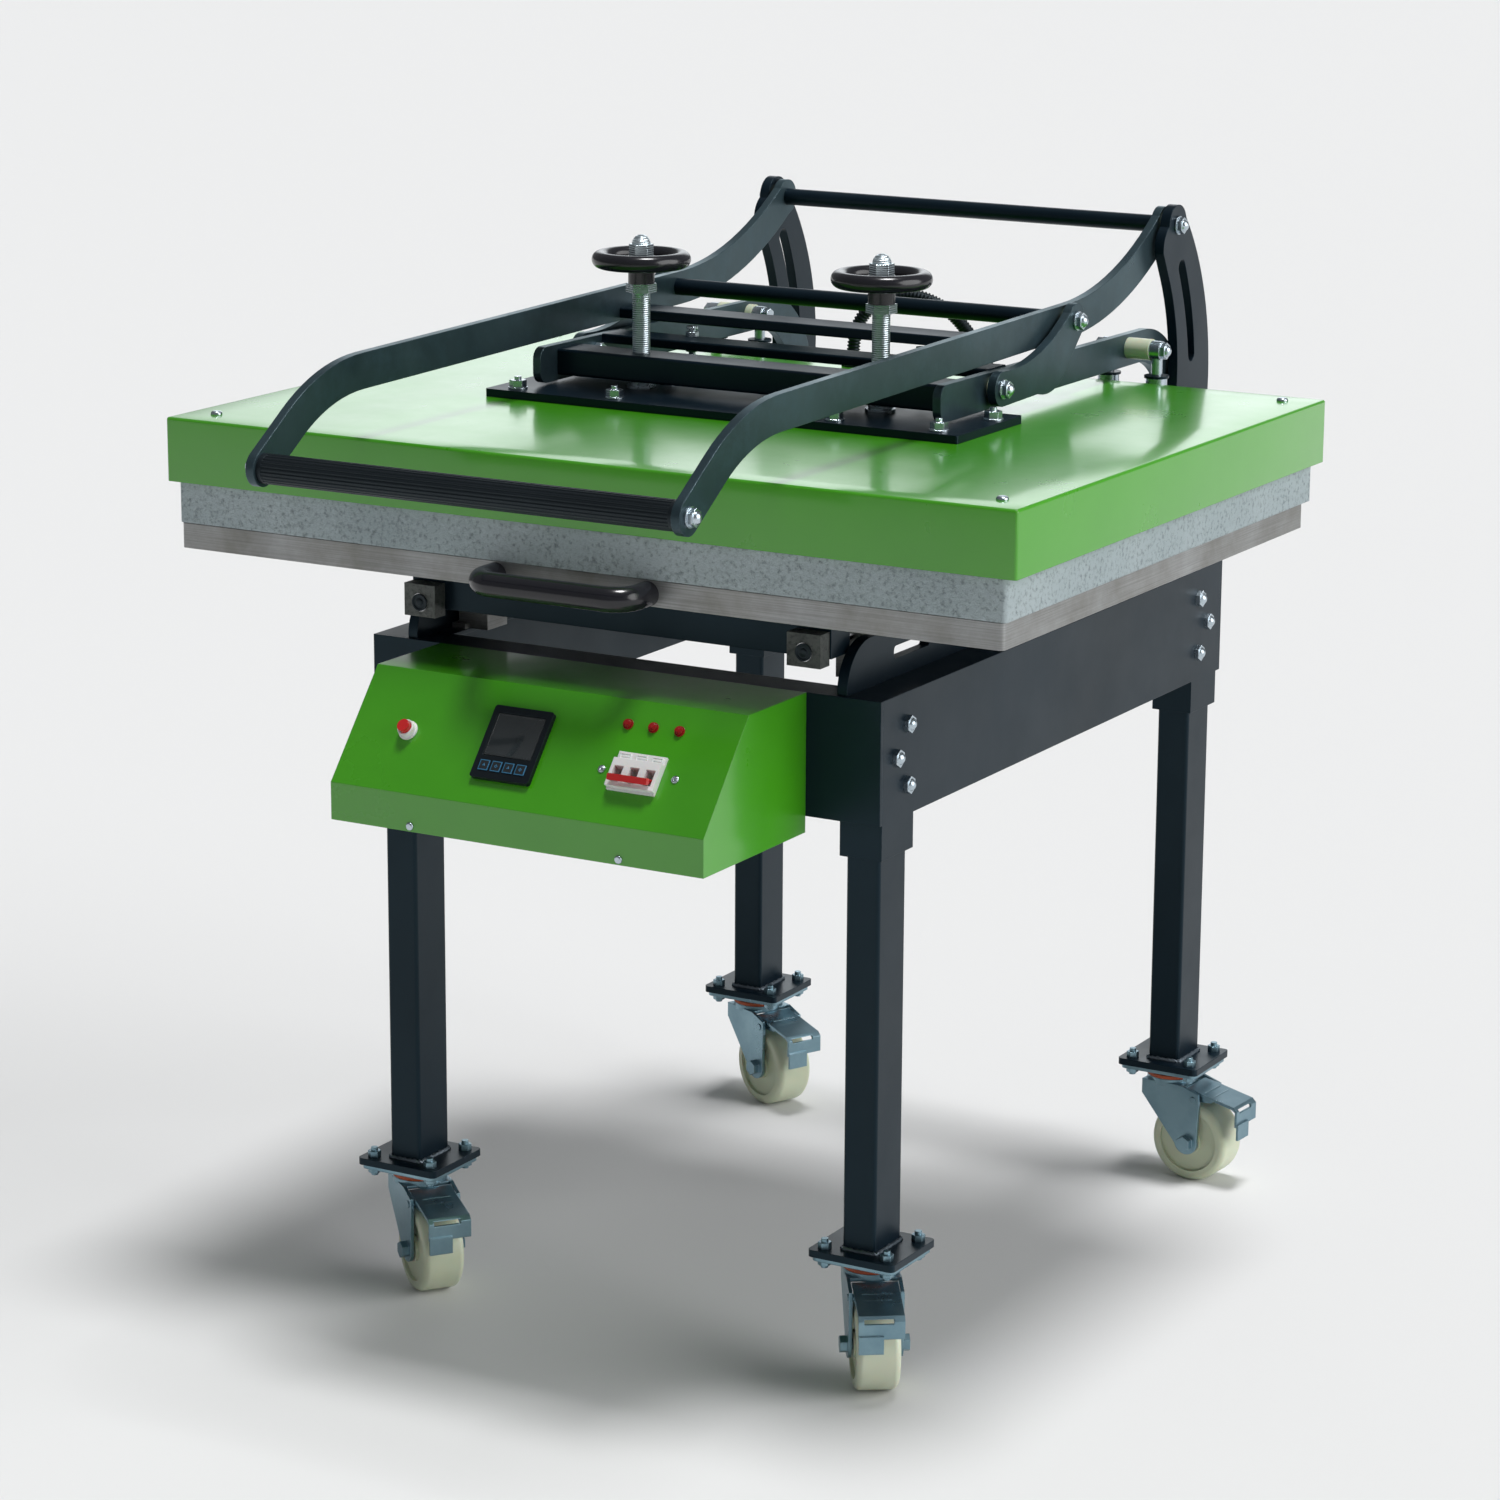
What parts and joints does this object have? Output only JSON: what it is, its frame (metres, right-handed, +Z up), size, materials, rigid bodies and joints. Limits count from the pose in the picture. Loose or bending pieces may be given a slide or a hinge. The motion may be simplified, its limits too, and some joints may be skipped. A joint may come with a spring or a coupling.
{
  "type": "flat-bed heat transfer press",
  "caption": "Large manual flat-bed press on a castor stand: heated head under a green cover, toggle lever, screw handwheels, sliding table and sloping control box.",
  "frame": {"origin": "on the floor under the centre of the bounding box", "axes": "+X to the right seen from the operator, +Y from the operator to the back, +Z up"},
  "size_m": [1.044, 1.2158, 1.1939],
  "materials": {
    "green_paint": "gloss",
    "black_paint": "satin",
    "zinc": "satin",
    "cast_aluminium": "as cast",
    "mill_aluminium": "mill",
    "black_steel": "gloss",
    "silicone": "matte",
    "board": "matte",
    "nylon": "satin",
    "black_plastic": "satin",
    "gloss_black_plastic": "gloss",
    "white_plastic": "satin",
    "red_plastic": "gloss",
    "lamp_red": "gloss",
    "ground_steel": "ground"
  },
  "bodies": {
    "base": {"right_rail": "black_paint", "left_rail": "black_paint", "front_beam": "black_paint", "rear_beam": "black_paint", "right_side_plate": "black_paint", "left_side_plate": "black_paint", "legs": "black_paint", "frame_bolts": "zinc", "linear_bearings": "mill_aluminium", "cable_glands": "black_plastic", "castor_plates": "zinc", "control_box": "green_paint", "temperature_controller": "black_plastic", "panel_fittings": "lamp_red", "breaker_body": "white_plastic"},
    "lever": {"right_lever": "black_paint", "left_lever": "black_paint", "lever_cross_bars": "black_paint", "handle_grip": "black_plastic", "lever_bolts": "zinc", "lever_washers": "nylon"},
    "links": {"toggle_links": "black_paint", "link_bolts": "zinc"},
    "head": {"right_swing_arm": "black_paint", "left_swing_arm": "black_paint", "arm_cross_bars": "black_paint", "pressure_plate": "black_paint", "head_fasteners": "zinc", "heater_cover": "green_paint", "insulation_board": "board", "heated_platen": "cast_aluminium", "nylon_spacers": "nylon", "rear_hangers": "zinc", "hanger_brackets": "black_paint", "head_gland": "black_plastic", "conduit": "black_plastic"},
    "table": {"lower_table": "mill_aluminium", "silicone_pad": "silicone", "table_carriage": "black_paint", "slide_rods": "ground_steel", "rod_end_blocks": "mill_aluminium", "pull_handle": "gloss_black_plastic"},
    "left_screw": {"left_handwheel": "gloss_black_plastic", "left_spindle": "zinc"},
    "right_screw": {"right_handwheel": "gloss_black_plastic", "right_spindle": "zinc"},
    "button": {"start_button": "red_plastic"},
    "toggle": {"breaker_toggle": "red_plastic"},
    "front_left_castor": {"front_left_fork": "zinc"},
    "front_left_roller": {"front_left_wheel": "nylon"},
    "front_left_brake": {"front_left_pedal": "zinc"},
    "front_right_castor": {"front_right_fork": "zinc"},
    "front_right_roller": {"front_right_wheel": "nylon"},
    "front_right_brake": {"front_right_pedal": "zinc"},
    "rear_left_castor": {"rear_left_fork": "zinc"},
    "rear_left_roller": {"rear_left_wheel": "nylon"},
    "rear_left_brake": {"rear_left_pedal": "zinc"},
    "rear_right_castor": {"rear_right_fork": "zinc"},
    "rear_right_roller": {"rear_right_wheel": "nylon"},
    "rear_right_brake": {"rear_right_pedal": "zinc"}
  },
  "joints": [
    {"name": "lever_swing", "type": "hinge", "parent": "base", "child": "lever", "pos_m": [0, 0.5077, 1.17], "axis": [-1, 0, 0], "range_deg": [0, 40]},
    {"name": "link_fold", "type": "hinge", "parent": "lever", "child": "links", "pos_m": [0, 0.2447, 1.09], "axis": [-1, 0, 0], "range_deg": [-68.98, 0]},
    {"name": "head_lift", "type": "hinge", "parent": "base", "child": "head", "pos_m": [0, 0.5397, 0.85], "axis": [-1, 0, 0], "range_deg": [0, 13.76]},
    {"name": "table_slide", "type": "slide", "parent": "base", "child": "table", "axis": [0, -1, 0], "range_m": [0, 0.33]},
    {"name": "left_screw_turn", "type": "hinge", "parent": "head", "child": "left_screw", "pos_m": [-0.1535, 0.0017, 1.1], "axis": [0, 0, 1], "continuous": true},
    {"name": "right_screw_turn", "type": "hinge", "parent": "head", "child": "right_screw", "pos_m": [0.1535, 0.0017, 1.1], "axis": [0, 0, 1], "continuous": true},
    {"name": "start_press", "type": "slide", "parent": "base", "child": "button", "axis": [0, 0.7733, -0.634], "range_m": [0, 0.003], "stiffness_N_per_m": 400, "springref_m": -0.003},
    {"name": "breaker_throw", "type": "hinge", "parent": "base", "child": "toggle", "pos_m": [0.12875, -0.47473, 0.69417], "axis": [-1, 0, 0], "range_deg": [0, 50]},
    {"name": "front_left_swivel", "type": "hinge", "parent": "base", "child": "front_left_castor", "pos_m": [-0.294, -0.2573, 0.12], "axis": [0, 0, 1], "continuous": true},
    {"name": "front_left_roll", "type": "hinge", "parent": "front_left_castor", "child": "front_left_roller", "pos_m": [-0.26525, -0.27897, 0.05], "axis": [-0.6018, -0.7986, 0], "continuous": true},
    {"name": "front_left_brake_tilt", "type": "hinge", "parent": "front_left_castor", "child": "front_left_brake", "pos_m": [-0.25886, -0.28378, 0.106], "axis": [0.6018, 0.7986, 0], "range_deg": [0, 10]},
    {"name": "front_right_swivel", "type": "hinge", "parent": "base", "child": "front_right_castor", "pos_m": [0.294, -0.2573, 0.12], "axis": [0, 0, 1], "continuous": true},
    {"name": "front_right_roll", "type": "hinge", "parent": "front_right_castor", "child": "front_right_roller", "pos_m": [0.31465, -0.28679, 0.05], "axis": [-0.8192, -0.5736, 0], "continuous": true},
    {"name": "front_right_brake_tilt", "type": "hinge", "parent": "front_right_castor", "child": "front_right_brake", "pos_m": [0.31924, -0.29334, 0.106], "axis": [0.8192, 0.5736, 0], "range_deg": [0, 10]},
    {"name": "rear_left_swivel", "type": "hinge", "parent": "base", "child": "rear_left_castor", "pos_m": [-0.294, 0.5227, 0.12], "axis": [0, 0, 1], "continuous": true},
    {"name": "rear_left_roll", "type": "hinge", "parent": "rear_left_castor", "child": "rear_left_roller", "pos_m": [-0.26137, 0.50748, 0.05], "axis": [-0.4226, -0.9063, 0], "continuous": true},
    {"name": "rear_left_brake_tilt", "type": "hinge", "parent": "rear_left_castor", "child": "rear_left_brake", "pos_m": [-0.25412, 0.5041, 0.106], "axis": [0.4226, 0.9063, 0], "range_deg": [0, 10]},
    {"name": "rear_right_swivel", "type": "hinge", "parent": "base", "child": "rear_right_castor", "pos_m": [0.294, 0.5227, 0.12], "axis": [0, 0, 1], "continuous": true},
    {"name": "rear_right_roll", "type": "hinge", "parent": "rear_right_castor", "child": "rear_right_roller", "pos_m": [0.32991, 0.52019, 0.05], "axis": [-0.0698, -0.9976, 0], "continuous": true},
    {"name": "rear_right_brake_tilt", "type": "hinge", "parent": "rear_right_castor", "child": "rear_right_brake", "pos_m": [0.33789, 0.51963, 0.106], "axis": [0.0698, 0.9976, 0], "range_deg": [0, 10]}
  ],
  "couplings": [
    {"joint": "link_fold", "follows": "lever_swing", "ratio": -1.712},
    {"joint": "head_lift", "follows": "lever_swing", "ratio": 0.33903}
  ]
}
